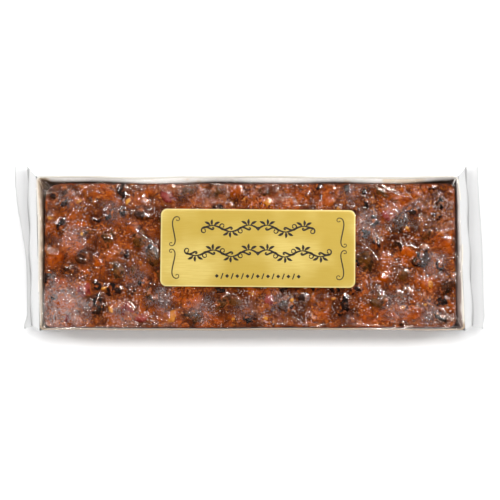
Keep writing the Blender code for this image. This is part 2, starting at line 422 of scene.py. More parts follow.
def near_fruit(x, y, fruit, margin):
    """Distance from one piece's middle, where 1 is its outline, for the points close to it."""
    dx, dy = x - fruit.x, y - fruit.y
    close = np.hypot(dx, dy) < fruit.half[0] + margin
    cosine, sine = math.cos(fruit.turn), math.sin(fruit.turn)
    along = (dx[close] * cosine + dy[close] * sine) / fruit.half[0]
    across = (dy[close] * cosine - dx[close] * sine) / fruit.half[1]
    return close, np.hypot(along, across)


def bare_crumb(x, y):
    """Height of the crumb without its fruit."""
    half_width = CAKE_SIZE[1] / 2
    z = TOP_LEVEL + CROWN * (1 - ((y - CAKE_MID[1]) / half_width) ** 2)
    z = z + 0.55 * lumps(x, y, 11.0, 1.3) + rough_crumb(x, y)
    return z


def rough_crumb(x, y):
    """The finer part of the relief: lumps, grains and cracks between them."""
    cracks = np.clip(1 - np.abs(lumps(x, y, 6.0, 12.5)) * 8, 0, 1) ** 2
    return 0.38 * lumps(x, y, 4.6, 4.1) + 0.34 * lumps(x, y, 2.1, 7.9) - 0.5 * cracks




def roll_over(x, y):
    """How far the top falls away at its rounded edge."""
    depth = depth_inside(x - CAKE_MID[0], y - CAKE_MID[1], CAKE_SIZE[0], CAKE_SIZE[1], CAKE_CORNER)
    short = np.clip(EDGE_ROUND - depth, 0, EDGE_ROUND)
    return EDGE_ROUND - np.sqrt(EDGE_ROUND**2 - short**2)


# Broad patches of one tone: x and y of the middle, radius and strength.
AMBER_PATCHES = (
    (-73, -2, 12, 1.0), (76, -3, 12, 1.0), (67, -12, 9, 0.8), (37, 27, 11, 0.9), (4, 27, 11, 0.9),
    (-24, 26, 11, 0.8), (53, -24, 8, 0.6), (66, -33, 9, 0.8), (-58, 26, 10, 0.7), (-32, -21, 6, 0.9),
    (20, 30, 9, 0.7), (-90, 17, 12, 0.5), (-44, 31, 8, 0.6), (-60, 10, 8, 0.5), (88, 2, 8, 0.5),
)
JUICE_PATCHES = (
    (-50, 1, 10, 0.7), (-66, 19, 8, 0.6), (22, -25, 11, 1.0), (45, -25, 9, 1.0), (-12, -24, 10, 0.8),
    (-72, -17, 8, 0.6), (57, 3, 8, 0.7), (58, 18, 7, 0.6), (-90, -8, 7, 0.6), (-6, 31, 10, 0.5),
    (-77, -27, 7, 0.6), (86, -31, 8, 0.6), (-84, 16, 9, 0.4), (-45, 25, 9, 0.4), (66, 31, 8, 0.4),
    (-76, 4, 6, 0.8), (-66, -8.5, 6, 0.9), (72.5, -8.5, 6, 0.8), (64, -22, 8, 0.7), (70, 5, 6, 0.8),
    (84, -1, 6, 0.8), (92, 24, 6, 0.7), (-22, 29, 6, 0.6), (-35, 28, 6, 0.5), (-90, -10, 6, 0.8),
    (-46, -21, 8, 0.7), (-53, -14, 5, 0.8), (2, -25, 5, 0.6), (38, -19, 6, 0.8), (-2, -32, 5, 0.5),
)
# Patches of painted sheen: the pale haze of the film over the crumb.
PAINTED_SHEEN_PATCHES = (
    (-88, -27, 14, 0.6), (-86, 7, 9, 0.6), (-60, -28, 9, 0.8), (57, 14, 10, 0.7), (74, 19, 10, 0.9),
    (90, 16, 9, 0.7), (90, -10, 9, 0.7), (60, -1, 8, 0.4), (88, -29, 9, 0.6), (-22, -28, 8, 0.5),
)


def patch_share(x, y, patches, ragged):
    """Share of a tone at each point: the strongest of its patches, with ragged edges."""
    share = np.zeros_like(x)
    for patch_x, patch_y, radius, strength in patches:
        reach = np.hypot(x - patch_x, y - patch_y) / radius + ragged
        share = np.maximum(share, strength * (1 - ease((reach - 0.3) / 0.85)))
    return share


def dress_crumb(x, y):
    """Heights of the crumb with its fruit, and the shares of amber, juice, painted sheen and painted shade there."""
    z = bare_crumb(x, y)
    ragged_patches = 0.5 * lumps(x, y, 7.0, 64.0)
    amber = 0.55 * ease(0.1 + 1.2 * lumps(x, y, 16.0, 21.0) + 0.8 * lumps(x, y, 6.0, 22.0))
    amber = np.maximum(amber, patch_share(x, y, AMBER_PATCHES, ragged_patches))
    juice_and_shade = 0.7 * ease(2.2 * lumps(x, y, 9.0, 61.0) + 1.6 * lumps(x, y, 3.4, 62.0) - 0.15)
    juice_and_shade = np.maximum(juice_and_shade, patch_share(x, y, JUICE_PATCHES, ragged_patches))
    ragged = lumps(x, y, 2.6, 63.0)
    for fruit in FRUIT:
        close, distance = near_fruit(x, y, fruit, 3.0)
        distance = distance + 0.22 * ragged[close]
        swell = 1 - ease((distance - 0.55) / 0.9)
        z[close] += 0.5 * fruit.rise * swell
        if fruit.kind in ("raisin", "prune", "nut"):
            stain = 1 - ease((distance - 0.75) / 0.6)
            juice_and_shade[close] = np.maximum(juice_and_shade[close], stain * (0.95 if fruit.kind != "nut" else 0.8))
        elif fruit.kind in ("amber", "citron"):
            amber[close] = np.maximum(amber[close], 1 - ease((distance - 0.7) / 0.9))
    painted_sheen = 0.35 * ease(0.1 + 1.2 * lumps(x, y, 19.0, 31.0) + 0.6 * lumps(x, y, 4.0, 33.0))
    painted_sheen = painted_sheen * (1 - ease((y - 16) / 10))
    painted_sheen = np.maximum(painted_sheen, patch_share(x, y, PAINTED_SHEEN_PATCHES, ragged_patches))
    # Painted shade along the back edge, where the crumb rolls away into the gap to the wall. It is stored with the
    # dark juice and, more weakly, with the painted sheen.
    painted_back_shade = 0.7 * ease(1 - (CAKE_HIGH[1] - y) / (2.2 + 1.2 * lumps(x, y, 9.0, 35.0)))
    painted_sheen, juice_and_shade = np.maximum(painted_sheen, 0.3 * painted_back_shade), np.maximum(juice_and_shade, painted_back_shade)
    # Painted shade in the pits and cracks of the relief.
    pit_shade = ease(-rough_crumb(x, y) / 0.45)
    return z - roll_over(x, y), np.stack([amber, juice_and_shade, painted_sheen, pit_shade], -1)


# %% Finish of the crumb
# The dark juice colour also paints shade in the pits and along the back edge. The pale mauve colour paints the film's
# hazy sheen, and the palest one paints glints.
RUST = screen(146, 62, 5)
BROWN = screen(92, 34, 2)
AMBER = screen(166, 70, 0)
JUICE_AND_SHADE = screen(54, 17, 0)
PAINTED_SHEEN = screen(156, 92, 66)
CRUMB_LIGHT = screen(218, 128, 60)
PAINTED_GLINT = screen(240, 206, 188)


def crumb_colour(tree, amber, juice_and_shade, painted_sheen, pit_shade):
    """Rust and brown in patches, with shares of amber, dark juice and painted sheen over them,
    painted shade in the pits, broken up by fine grains and painted glints. Returns the colour and the grains."""
    base = mix(tree, between(tree, grain(tree, 5.0, 4, roughness=0.6), 0.41, 0.58), BROWN, RUST)
    broken = between(tree, grain(tree, 2.4, 3), 0.36, 0.60, 0.15, 1.0)
    base = mix(tree, calculate(tree, "MULTIPLY", amber, broken), base, AMBER)
    # Painted sheen: pale mauve where the film over the crumb looks hazy.
    veiled = calculate(tree, "MULTIPLY", painted_sheen, between(tree, grain(tree, 1.6, 3), 0.38, 0.66, 0.0, 0.5))
    base = mix(tree, veiled, base, PAINTED_SHEEN)
    soaked = calculate(tree, "MULTIPLY", juice_and_shade, between(tree, grain(tree, 2.0, 3), 0.3, 0.6, 0.7, 1.0))
    base = mix(tree, soaked, base, JUICE_AND_SHADE)
    # Painted shade in the pits.
    base = mix(tree, calculate(tree, "MULTIPLY", pit_shade, 0.8), base, JUICE_AND_SHADE)
    fine = grain(tree, 1.0, 4, roughness=0.75)
    coarse = between(tree, grain(tree, 7.0, 2), 0.40, 0.62, 0.25, 1.0)
    lit = calculate(tree, "MULTIPLY", between(tree, fine, 0.52, 0.66, 0.0, 0.75), coarse)
    lit = calculate(tree, "MULTIPLY", lit, between(tree, juice_and_shade, 0.2, 0.9, 1.0, 0.2))
    base = mix(tree, lit, base, CRUMB_LIGHT)
    dark = calculate(tree, "MULTIPLY", between(tree, fine, 0.52, 0.38, 0.0, 1.0), coarse)
    base = mix(tree, dark, base, JUICE_AND_SHADE)
    # Painted glints: tiny pale specks in clusters, standing in for highlights.
    painted_glints = between(tree, grain(tree, 0.8, 1), 0.60, 0.67, 0.0, 0.6)
    cluster = between(tree, grain(tree, 8.0, 3, roughness=0.6), 0.48, 0.62, 0.04, 1.0)
    return mix(tree, calculate(tree, "MULTIPLY", painted_glints, cluster), base, PAINTED_GLINT), fine


def crumb_finish():
    """Moist crumb, coloured by the attribute."""
    made, tree, shader = finish("fruit_cake_crumb", roughness=0.3, specular=0.12)
    shares = tree.nodes.new("ShaderNodeVertexColor")
    shares.layer_name = "shares"
    split = add(tree, "ShaderNodeSeparateColor", Color=shares.outputs["Color"]).outputs
    base, fine = crumb_colour(tree, split["Red"], split["Green"], split["Blue"], shares.outputs["Alpha"])
    tree.links.new(base, shader.inputs["Base Color"])
    tree.links.new(between(tree, fine, 0.35, 0.65, 0.34, 0.16), shader.inputs["Roughness"])
    tree.links.new(relief(tree, fine, 0.8, 1.0), shader.inputs["Normal"])
    return made



# %% Build the crumb
def make_crumb(spacing=0.5):
    x, y = rounded_grid(CAKE_SIZE[0], CAKE_SIZE[1], CAKE_CORNER, spacing)
    x, y = x + CAKE_MID[0], y + CAKE_MID[1]
    worn = ease(1 - np.hypot(x - CAKE_LOW[0], y - CAKE_HIGH[1]) / WORN_REACH)
    x, y = x + worn * WORN_DEPTH, y - worn * WORN_DEPTH
    z, shares = dress_crumb(x, y)
    top = np.stack([x, y, z], -1).reshape(-1, 3)
    rim = border(*x.shape)
    rows = 5
    drop = np.linspace(0, 1, rows + 1)[1:, None]
    edge = top[rim]
    base = edge * (0.965, 0.86, 0.0) + (0.0, 0.0, CAKE_LOW[2])
    sides = edge[None] + drop[..., None] * (base - edge)[None]
    points = np.concatenate([top, sides.reshape(-1, 3)])
    faces = grid_faces(*x.shape)
    count = len(rim)
    above = rim
    for row in range(rows):
        below = len(top) + row * count + np.arange(count)
        ahead, ahead_below = np.roll(above, -1), np.roll(below, -1)
        faces += np.stack([above, ahead, ahead_below, below], 1).tolist()
        above = below
    faces.append(above[::-1].tolist())
    made = mesh_piece("cake_crumb", points, faces, crumb_finish())
    outwards(made)
    painted = made.data.color_attributes.new("shares", "FLOAT_COLOR", "POINT")
    values = np.zeros((len(points), 4))
    values[:, 3] = 1
    values[: len(top)] = shares.reshape(-1, 4)
    painted.data.foreach_set("color", values.ravel())
    return made


crumb = make_crumb()

# %% [markdown]
# ## Fruit set in the crumb
#
# A few shapes, each repeated many times in different sizes and turns: that is work for
# Geometry Nodes. One point per piece carries its turn, size and tone. The tree puts a shape
# on each point, picks one of three forms of it, makes the copies real, and gives them their
# finish. Real meshes matter, because copies that are only drawn are lost when a model is
# exported.


# %% Forms of fruit
def fruit_form(name, smoothness, roughness, pinch, seed):
    """A unit ball, wrinkled and pinched: `roughness` is the depth of its wrinkles."""
    shape = bmesh.new()
    bmesh.ops.create_icosphere(shape, subdivisions=smoothness, radius=1.0)
    for vertex in shape.verts:
        p = vertex.co.copy()
        ridges = 1 - 2 * abs(noise.noise(p * 2.6 + Vector((seed, 0.0, 3.0 * seed))))
        broad = noise.noise(p * 1.3 + Vector((0.0, seed, 5.0)))
        p.z = math.copysign(abs(p.z) ** 0.7, p.z)
        vertex.co = p * (1 + roughness * (ridges - 0.6) + pinch * broad)
    mesh = bpy.data.meshes.new(name)
    shape.to_mesh(mesh)
    shape.free()
    mesh.shade_smooth()
    return bpy.data.objects.new(name, mesh)


# %% The tree that sets them
def setting_tree():
    """Geometry Nodes: a form from a collection on every point, real copies, one finish."""
    tree = bpy.data.node_groups.new("set_pieces", "GeometryNodeTree")
    for name, kind in (("Points", "NodeSocketGeometry"), ("Forms", "NodeSocketCollection"), ("Finish", "NodeSocketMaterial")):
        tree.interface.new_socket(name, in_out="INPUT", socket_type=kind)
    tree.interface.new_socket("Pieces", in_out="OUTPUT", socket_type="NodeSocketGeometry")
    given = tree.nodes.new("NodeGroupInput")
    result = tree.nodes.new("NodeGroupOutput")
    forms = add(tree, "GeometryNodeCollectionInfo", Collection=given.outputs["Forms"])
    forms.inputs["Separate Children"].default_value = True
    forms.inputs["Reset Children"].default_value = True
    stored = {}
    for name, kind in (("turn", "FLOAT_VECTOR"), ("size", "FLOAT_VECTOR"), ("form", "INT")):
        stored[name] = tree.nodes.new("GeometryNodeInputNamedAttribute")
        stored[name].data_type = kind
        stored[name].inputs["Name"].default_value = name
    turned = add(tree, "FunctionNodeEulerToRotation", Euler=stored["turn"].outputs["Attribute"])
    on_points = add(
        tree,
        "GeometryNodeInstanceOnPoints",
        Points=given.outputs["Points"],
        Instance=forms.outputs["Instances"],
        Instance_Index=stored["form"].outputs["Attribute"],
        Rotation=turned.outputs["Rotation"],
        Scale=stored["size"].outputs["Attribute"],
    )
    on_points.inputs["Pick Instance"].default_value = True
    real = add(tree, "GeometryNodeRealizeInstances", Geometry=on_points.outputs["Instances"])
    dressed = add(tree, "GeometryNodeSetMaterial", Geometry=real.outputs["Geometry"], Material=given.outputs["Finish"])
    tree.links.new(dressed.outputs["Geometry"], result.inputs["Pieces"])
    return tree


SETTING = setting_tree()


def set_pieces(name, points, turns, sizes, forms, tones, material):
    """Runs the tree on a cloud of points (millimetres) and returns a plain mesh object."""
    cloud = bpy.data.meshes.new(name + "_points")
    cloud.from_pydata((np.asarray(points) * MM).tolist(), [], [])
    count = len(points)
    for label, values in (("turn", turns), ("size", np.asarray(sizes) * MM)):
        cloud.attributes.new(label, "FLOAT_VECTOR", "POINT").data.foreach_set("vector", np.ravel(values))
    draw = np.random.default_rng(count)
    picks = draw.integers(0, len(forms), count).astype(np.int32)
    cloud.attributes.new("form", "INT", "POINT").data.foreach_set("value", picks)
    cloud.attributes.new("tone", "FLOAT", "POINT").data.foreach_set("value", np.asarray(tones, float))
    holder = bpy.data.objects.new(name + "_holder", cloud)
    bpy.context.scene.collection.objects.link(holder)
    shelf = bpy.data.collections.new(name + "_forms")
    for form in forms:
        shelf.objects.link(form)
    modifier = holder.modifiers.new("set", "NODES")
    modifier.node_group = SETTING
    inputs = {item.name: item.identifier for item in SETTING.interface.items_tree if item.in_out == "INPUT"}
    modifier[inputs["Forms"]] = shelf
    modifier[inputs["Finish"]] = material
    evaluated = holder.evaluated_get(bpy.context.evaluated_depsgraph_get())
    mesh = bpy.data.meshes.new_from_object(evaluated)
    made = bpy.data.objects.new(name, mesh)
    bpy.context.scene.collection.objects.link(made)
    bpy.data.objects.remove(holder)
    for form in forms:
        bpy.data.objects.remove(form)
    bpy.data.collections.remove(shelf)
    mesh.shade_smooth()
    print(name, count, "pieces,", len(mesh.polygons), "faces")
    return made


# %% Finishes of the fruit
def fruit_finish(name, dark, light, speck, gloss, wrinkle, patch=3.0):
    """Two tones in patches, varied from piece to piece, that give way to crumb where the
    piece dips under it."""
    made, tree, shader = finish(name, roughness=gloss, specular=0.07)
    tone = tree.nodes.new("ShaderNodeAttribute")
    tone.attribute_name = "tone"
    above = tree.nodes.new("ShaderNodeAttribute")
    above.attribute_name = "above"
    shade = calculate(tree, "MULTIPLY", tone.outputs["Fac"], 0.6)
    patches = calculate(tree, "ADD", between(tree, grain(tree, patch, 3), 0.35, 0.68), shade)
    base = mix(tree, between(tree, patches, 0.1, 1.3), dark, light)
    fine = grain(tree, 0.95, 4, roughness=0.7)
    base = mix(tree, between(tree, fine, 0.58, 0.72, 0.0, 0.6), base, speck)
    base = mix(tree, between(tree, fine, 0.46, 0.3, 0.0, 0.6), base, dark)
    crumb_base = crumb_colour(tree, 0.3, 0.2, 0.2, 0.0)[0]
    ragged = between(tree, grain(tree, 2.6, 4), 0.3, 0.7, -0.6, 0.7)
    edge = calculate(tree, "ADD", above.outputs["Fac"], ragged)
    base = mix(tree, between(tree, edge, 0.15, 0.75), crumb_base, base)
    tree.links.new(base, shader.inputs["Base Color"])
    tree.links.new(relief(tree, fine, wrinkle, 0.8), shader.inputs["Normal"])
    return made


SKINS = {
    "raisin": (screen(13, 5, 2), screen(38, 18, 9), screen(120, 80, 60), 0.24, 0.7),
    "prune": (screen(24, 7, 0), screen(62, 25, 2), screen(132, 80, 44), 0.24, 0.7),
    "nut": (screen(38, 16, 0), screen(88, 45, 4), screen(180, 124, 66), 0.28, 0.8),
    "amber": (screen(110, 38, 1), screen(158, 66, 1), screen(210, 128, 52), 0.22, 0.5),
    "cherry": (screen(80, 22, 14), screen(134, 48, 38), screen(198, 116, 100), 0.20, 0.4),
    "citron": (screen(166, 94, 24), screen(206, 140, 48), screen(238, 200, 136), 0.26, 0.4),
}

# For each kind: name of the piece, roundness of its mesh, wrinkle depth and pinch.
FORMS = {
    "raisin": ("raisins", 3, 0.20, 0.30),
    "prune": ("prunes", 3, 0.16, 0.36),
    "nut": ("nuts", 3, 0.24, 0.36),
    "amber": ("candied_orange", 3, 0.12, 0.40),
    "cherry": ("cherries", 3, 0.06, 0.24),
    "citron": ("citron_bits", 2, 0.08, 0.30),
}


# %% Set the fruit
def paint(piece, name, values):
    """Stores one number for each point of a piece, for its finish to read."""
    stored = piece.data.attributes.new(name, "FLOAT", "POINT")
    stored.data.foreach_set("value", np.asarray(values, float).ravel())


def places_of(piece):
    """x, y and z of a piece's points, in millimetres."""
    flat = np.empty(3 * len(piece.data.vertices))
    piece.data.vertices.foreach_get("co", flat)
    return flat.reshape(-1, 3).T / MM


def trim_to_slab(piece, margin=0.35):
    """Cuts a piece off where the cake was cut: points past its sides move back to them."""
    x, y, z = places_of(piece)
    x = np.clip(x, CAKE_LOW[0] + margin, CAKE_HIGH[0] - margin)
    y = np.clip(y, CAKE_LOW[1] + margin, CAKE_HIGH[1] - margin)
    piece.data.vertices.foreach_set("co", (np.stack([x, y, z], 1) * MM).ravel())
    piece.data.update()


fruit_pieces = []
for kind, (name, roundness, wrinkle, pinch) in FORMS.items():
    chosen = [f for f in FRUIT if f.kind == kind]
    x, y = np.array([f.x for f in chosen]), np.array([f.y for f in chosen])
    heights = dress_crumb(x, y)[0] + [f.rise - f.half[2] for f in chosen]
    tilt = np.random.default_rng(len(name)).normal(0, 0.10, (len(chosen), 2))
    turns = [(a, b, f.turn) for f, (a, b) in zip(chosen, tilt)]
    forms = [fruit_form(f"{kind}_{n}", roundness, wrinkle, pinch, 2.7 * n + len(name)) for n in range(4)]
    piece = set_pieces(
        name,
        np.stack([x, y, heights], 1),
        turns,
        [f.half for f in chosen],
        forms,
        [f.tone for f in chosen],
        fruit_finish(name + "_finish", *SKINS[kind]),
    )
    trim_to_slab(piece)
    x, y, z = places_of(piece)
    paint(piece, "above", ease((z - dress_crumb(x, y)[0]) / 0.45))
    fruit_pieces.append(piece)

# %% [markdown]
# ## The card tray
#
# One sheet of thin board, cut and folded: four walls that lean outwards, with the spare board
# at each corner folded in as a small web. Real board is never straight, so the rim wanders by
# a fraction of a millimetre. A ring of points goes round the outline at every height, first
# up the outside, over the cut edge and down the inside, which makes one closed skin.

# %% Outline of the tray
BOARD = 0.6
RIM_PUSH = 0.8                  # the full tray bulges by this much at its rim
RIM_HALF = TRAY_HIGH[:2] + RIM_PUSH
TRAY_LEAN = 4.0 + RIM_PUSH      # how far each wall leans out between the base and the rim
SKEW = 1.25                     # the tray was pushed a little out of square
WALL_ROWS = 14
BACK_DIP = 1.7                  # the walls lean in just below their rim, then flare out:
LEFT_DIP = (1.2, 0.3)           # by this much in the middle, and more (+) or less (-)
RIGHT_DIP = (1.3, -0.9)         # towards the back


DIP_PEAK = 8 ** 8 / 9 ** 9      # the highest value of s**8 * (1 - s)



def rim_shift(y):
    """How far the rim stands to the right of its place: positive in front, negative behind."""
    return -SKEW * y / RIM_HALF[1]


def side_bow(x, y, share):

    """How far the walls stray from straight, growing towards the rim: dx and dy."""
    right = 0.9 * ease((y + 14) / 18) - 0.5 * np.exp(-(((y - 36) / 6) ** 2))
    end_bow = np.where(x > 0, right, 0.25 * np.sin(y / 9))
    back_bow = 0.35 * np.sin(x / 17 + 1.2) + 0.20 * np.sin(x / 7.3)
    front_bow = 0.20 * np.sin(x / 21) + 0.10 * np.sin(x / 8)
    dip = share**8 * (1 - share) / DIP_PEAK
    back_dip = BACK_DIP * dip * (1 + 0.35 * np.sin(x / 9.0))
    middle, more = np.where(x > 0, RIGHT_DIP[0], LEFT_DIP[0]), np.where(x > 0, RIGHT_DIP[1], LEFT_DIP[1])
    end_dip = (middle + more * y / TRAY_HIGH[1]) * dip * np.sign(x)
    on_end = np.abs(x) / TRAY_HIGH[0] > np.abs(y) / TRAY_HIGH[1]
    fade = 1 - (np.minimum(np.abs(x) / TRAY_HIGH[0], np.abs(y) / TRAY_HIGH[1])) ** 8
    dx = np.where(on_end, end_bow * share**2 - end_dip, 0.0) * fade + rim_shift(y) * share**2
    dy = np.where(on_end, 0.0, np.where(y > 0, back_bow * share**2 - back_dip, front_bow * share**2))
    return dx, dy * fade



def outline(half_x, half_y, step=2.0, corner=1.2):
    """Points round a rectangle with small round corners, counter-clockwise."""
    along_x = np.linspace(-1, 1, round(2 * half_x / step) + 1) * (half_x - corner)
    along_y = np.linspace(-1, 1, round(2 * half_y / step) + 1) * (half_y - corner)
    sides = [
        np.stack([along_x, np.full_like(along_x, -half_y)], 1),
        np.stack([np.full_like(along_y, half_x), along_y], 1),
        np.stack([along_x[::-1], np.full_like(along_x, half_y)], 1),
        np.stack([np.full_like(along_y, -half_x), along_y[::-1]], 1),
    ]
    return np.concatenate(sides)


def tray_ring(share, inset):
    """One ring of the tray: share is 0 at the base and 1 at the rim."""
    lean = TRAY_LEAN * (1 - share)
    half_x, half_y = RIM_HALF - lean - inset
    steps = outline(*RIM_HALF)
    x = steps[:, 0] * half_x / RIM_HALF[0]
    y = steps[:, 1] * half_y / RIM_HALF[1]
    dx, dy = side_bow(x, y, share)
    z = TRAY_LOW[2] + share * (RIM_Z - TRAY_LOW[2])
    wave = 0.2 * np.sin(x / 13 + y / 5) * share**4
    return np.stack([x + dx, y + dy, np.full_like(x, z) + wave * (share > 0.9)], 1)


# %% Finish of the board
def board_finish():
    """Cream white board with a faint fibre, fat blots, painted shade low on the inner walls near the cake, and a cream
    cut edge.
    """
    made, tree, shader = finish("tray_board_finish", roughness=0.62, specular=0.35)
    fibre = grain(tree, 0.6, 3, where=places(tree, stretch=(3.0, 1.0, 1.0)))
    base = mix(tree, between(tree, fibre, 0.3, 0.7), screen(236, 231, 224), screen(248, 244, 238))
    blots = grain(tree, 14.0, 3)
    base = mix(tree, between(tree, blots, 0.56, 0.66, 0.0, 0.55), base, screen(216, 180, 130))
    where = add(tree, "ShaderNodeSeparateXYZ", Vector=places(tree)).outputs
    left = between(tree, where["X"], -97.0, -101.0)
    right = between(tree, where["X"], 97.0, 101.0)
    front = between(tree, where["Y"], -33.0, -35.5)
    # A painted reflection of the cake: the left wall is tinted beige.
    base = mix(tree, calculate(tree, "MULTIPLY", left, 0.7), base, screen(216, 192, 158))
    # Painted shade on the inner walls near the cake: darker towards their foot, reaching higher on the left wall and
    # towards the front of the right wall.
    wall_shade_height = calculate(tree, "ADD", where["Z"], between(tree, grain(tree, 6.0, 3), 0.3, 0.7, -0.6, 0.6))
    wall_shade_height = calculate(tree, "SUBTRACT", wall_shade_height, calculate(tree, "MULTIPLY", left, 3.0))
    to_front = between(tree, where["Y"], 25.0, -25.0, 2.0, 5.0)
    wall_shade_height = calculate(tree, "SUBTRACT", wall_shade_height, calculate(tree, "MULTIPLY", right, to_front))
    low = between(tree, wall_shade_height, RIM_Z - 3.0, RIM_Z - 6.5)
    # The painted shade is brown on the left, where it also stands for the reflected cake, and grey on the right.
    stain = mix(tree, right, screen(134, 106, 84), screen(146, 128, 120))
    base = mix(tree, low, base, stain)
    cut_edge = between(tree, where["Z"], RIM_Z - 0.5, RIM_Z - 0.2)
    # The cut edge of the front wall is painted darker and browner: painted shade and reflection.
    base = mix(tree, cut_edge, base, mix(tree, front, screen(204, 197, 186), screen(158, 138, 116)))
    tree.links.new(base, shader.inputs["Base Color"])
    tree.links.new(relief(tree, fibre, 0.08, 0.6), shader.inputs["Normal"])
    return made


BOARD_FINISH = board_finish()


# %% Build the tray
def make_tray():
    floor_share = BOARD / (RIM_Z - TRAY_LOW[2])
    up = 1 - np.linspace(1, 0, WALL_ROWS + 1) ** 1.8
    down = 1 - np.linspace(0, 1, WALL_ROWS + 1) ** 1.8 * (1 - floor_share)
    rings = [tray_ring(share, 0.0) for share in up] + [tray_ring(share, BOARD) for share in down]
    count = len(rings[0])
    points = np.concatenate(rings)
    faces = []
    for ring in range(len(rings) - 1):
        near = ring * count + np.arange(count)
        far = near + count
        faces += np.stack([near, np.roll(near, -1), np.roll(far, -1), far], 1).tolist()
    faces.append(np.arange(count)[::-1].tolist())
    faces.append((len(points) - count + np.arange(count)).tolist())
    made = mesh_piece("tray_board", points, faces, BOARD_FINISH, flat_above=35)
    outwards(made)
    return made


def make_webs():
    """The folded corners: a thin triangle of doubled board inside each end wall."""
    points, faces = [], []
    for sx in (-1, 1):
        for sy in (-1, 1):
            rim = np.array([sx, sy]) * (RIM_HALF - BOARD - 0.25)
            foot = rim - (sx * TRAY_LEAN, sy * TRAY_LEAN)
            shift = np.array([rim_shift(sy * RIM_HALF[1]), 0.0])
            inner = [(*(rim + shift - (sx * 0.3, sy * 0.3)), RIM_Z - 1.6), (*foot, TRAY_LOW[2] + 1.2)]
            end = rim + shift + (-sx * 2.0, -sy * 5.0)
            inner.append((*end, RIM_Z - 4.0))
            first = len(points)
            thick = np.array([-sx * 0.5, 0.0, 0.0])
            points += [np.array(p) for p in inner] + [np.array(p) + thick for p in inner]
            a, b, c, d, e, f = range(first, first + 6)
            faces += [(a, b, c), (f, e, d), (a, d, e, b), (b, e, f, c), (c, f, d, a)]
    made = mesh_piece("corner_webs", np.array(points), faces, BOARD_FINISH, flat_above=20)
    outwards(made)
    return made


tray = make_tray()
webs = make_webs()

# %% [markdown]
# ## The film wrap
#
# Flow-wrap film is one tube, pulled over the tray and pressed flat at both ends. On top it
# hangs like a soap film: it rests on the highest fruit and the rim and sags a little between
# them. That rule can be run as a small relaxation: start flat, average each point with its
# neighbours, pull it down a trifle, and never let it sink below what it rests on. Wrinkles
# are added where it touches nothing.

# %% What the film rests on
FILM_STEP = 0.55
TOPS_PER_UNDER = 6              # the hidden underside is this much coarser than the top
FILM_OFF = 0.12                 # film and what it touches stay this far apart
OVER_RIM = 0.35
HALF_TOP = RIM_HALF + OVER_RIM


def solid_tree(pieces):
    """One search tree over the triangles of several pieces."""
    points, faces = [], []
    for piece in pieces:
        first = len(points)
        points += [v.co.copy() for v in piece.data.vertices]
        faces += [[first + n for n in polygon.vertices] for polygon in piece.data.polygons]
    return BVHTree.FromPolygons(points, faces)


def heights_below(tree, x, y, ceiling=50.0, floor=0.0):
    """Looks straight down on the pieces and returns their height at every point."""
    found = []
    for a, b in zip((x * MM).ravel().tolist(), (y * MM).ravel().tolist()):
        hit = tree.ray_cast((a, b, ceiling * MM), (0.0, 0.0, -1.0))[0]
        found.append(floor if hit is None else hit.z / MM)
    return np.array(found).reshape(x.shape)



ACROSS = TOPS_PER_UNDER * round(2 * HALF_TOP[1] / FILM_STEP / TOPS_PER_UNDER) + 1
UNDER = (ACROSS - 1) // TOPS_PER_UNDER + 1
FILM_X, FILM_Y = np.meshgrid(
    np.linspace(-HALF_TOP[0], HALF_TOP[0], round(2 * HALF_TOP[0] / FILM_STEP) + 1),
    np.linspace(HALF_TOP[1], -HALF_TOP[1], ACROSS),
    indexing="ij",
)
support = heights_below(solid_tree([crumb, tray, *fruit_pieces]), FILM_X, FILM_Y)
print("film rests on heights up to", round(float(support.max()), 2), "mm")


# %% Let it sag
def drape(held_up, pull=0.016, rounds=420):

    """Height of a film that rests on `held_up` and is drawn down between its peaks."""
    least = held_up + FILM_OFF
    sheet = np.full_like(least, least.max())
    edge = np.ones_like(least, bool)
    edge[1:-1, 1:-1] = False
    sheet[edge] = RIM_Z + FILM_OFF
    for _ in range(rounds):
        middle = (sheet[:-2, 1:-1] + sheet[2:, 1:-1] + sheet[1:-1, :-2] + sheet[1:-1, 2:]) / 4
        sheet[1:-1, 1:-1] = np.maximum(middle - pull, least[1:-1, 1:-1])
    return sheet


film_top = drape(support)
contact = 1 - ease((film_top - support - FILM_OFF) / 0.5)
print("film touches", round(float((contact > 0.9).mean()), 2), "of the top")

# %% [markdown]
# ## The label's place
#
# The label is stiffer than the film. It takes up only the broad shape of what lies under it,
# so it follows a gentle curved surface fitted to the film, lifted until nothing pokes
# through. The film is then pressed to its underside.

# %% Surface of the label
LABEL_SIZE = (95.25, 38.1)
LABEL_CORNER = 3.0
LABEL_TURN = math.radians(-0.5)
LABEL_MID = (LABEL_LOW + LABEL_HIGH)[:2] / 2
LABEL_THICK = 0.22


def label_frame(x, y):
    """Turns places on the table into places on the label, measured from its middle."""
    dx, dy = x - LABEL_MID[0], y - LABEL_MID[1]
    cosine, sine = math.cos(LABEL_TURN), math.sin(LABEL_TURN)
    return dx * cosine + dy * sine, dy * cosine - dx * sine


def bow_terms(x, y):
    """The gentle curves that the label may take."""
    u, v = label_frame(x, y)
    u, v = u / LABEL_SIZE[0] * 2, v / LABEL_SIZE[1] * 2
    return np.stack([np.ones_like(u), u, v, u * u, u * v, v * v], -1)


u, v = label_frame(FILM_X, FILM_Y)
label_depth = depth_inside(u, v, *LABEL_SIZE, LABEL_CORNER)
under_label = label_depth > 0
terms = bow_terms(FILM_X, FILM_Y)
curve = np.linalg.lstsq(terms[under_label], film_top[under_label], rcond=None)[0]


def label_wave(x, y):
    """Shallow waves, as in paper stuck on something soft."""
    return 0.10 * lumps(x, y, 26.0, 41.0) + 0.04 * lumps(x, y, 11.0, 43.0)


flat = terms @ curve + label_wave(FILM_X, FILM_Y)
label_lift = float((support + FILM_OFF - flat)[under_label].max()) + 0.06


